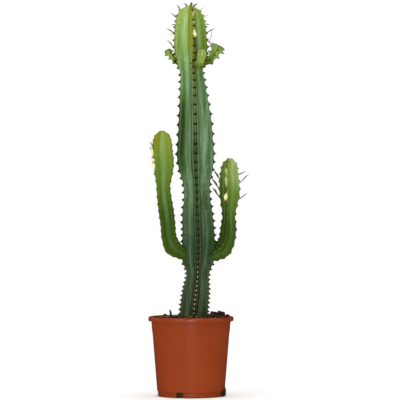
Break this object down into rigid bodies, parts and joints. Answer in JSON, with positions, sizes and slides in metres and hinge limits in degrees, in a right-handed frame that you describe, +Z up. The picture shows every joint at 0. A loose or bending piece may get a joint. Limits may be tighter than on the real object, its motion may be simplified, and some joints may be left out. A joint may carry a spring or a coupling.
{
  "type": "potted euphorbia",
  "caption": "Upright four-ribbed euphorbia with two side arms, spined ribs and small leaves, growing in a round plastic nursery pot.",
  "frame": {"origin": "centre of the pot's underside, on the surface that the pot stands on", "axes": "+Z up along the stem; -Y is the front of the plant; +X is towards the lower of its two arms"},
  "size_m": [0.2012, 0.17, 0.7837],
  "materials": {
    "pot_plastic": "satin",
    "potting_soil": "matte",
    "stem_skin": "satin",
    "arm_skin": "satin",
    "shoot_skin": "satin",
    "leaf_blade": "matte",
    "bark": "matte",
    "roots": "matte"
  },
  "bodies": {
    "root": {"bark_1": "bark", "bark_2": "bark", "bark_3": "bark", "bark_4": "bark", "bark_5": "bark", "bark_6": "bark", "bark_7": "bark", "leaf_crown_01": "leaf_blade", "leaf_crown_02": "leaf_blade", "leaf_crown_03": "leaf_blade", "leaf_head_01": "leaf_blade", "leaf_head_02": "leaf_blade", "leaf_head_03": "leaf_blade", "leaf_head_04": "leaf_blade", "leaf_head_05": "leaf_blade", "leaf_head_06": "leaf_blade", "leaf_head_07": "leaf_blade", "leaf_head_08": "leaf_blade", "leaf_head_09": "leaf_blade", "leaf_head_10": "leaf_blade", "leaf_head_11": "leaf_blade", "leaf_head_12": "leaf_blade", "leaf_head_13": "leaf_blade", "leaf_head_14": "leaf_blade", "leaf_head_15": "leaf_blade", "leaf_head_16": "leaf_blade", "leaf_left_arm_01": "leaf_blade", "leaf_left_arm_02": "leaf_blade", "leaf_left_arm_03": "leaf_blade", "leaf_left_arm_04": "leaf_blade", "leaf_right_arm_01": "leaf_blade", "leaf_right_arm_02": "leaf_blade", "leaf_right_arm_03": "leaf_blade", "leaf_right_arm_04": "leaf_blade", "leaf_right_arm_05": "leaf_blade", "leaf_right_arm_06": "leaf_blade", "leaf_right_arm_07": "leaf_blade", "leaf_right_arm_08": "leaf_blade", "leaf_right_arm_09": "leaf_blade", "left_arm": "arm_skin", "main_stem": "stem_skin", "pot": "pot_plastic", "right_arm": "arm_skin", "root_tuft": "roots", "shoot_front": "shoot_skin", "shoot_left": "shoot_skin", "shoot_right": "shoot_skin", "soil": "potting_soil", "twig": "bark"}
  },
  "joints": []
}
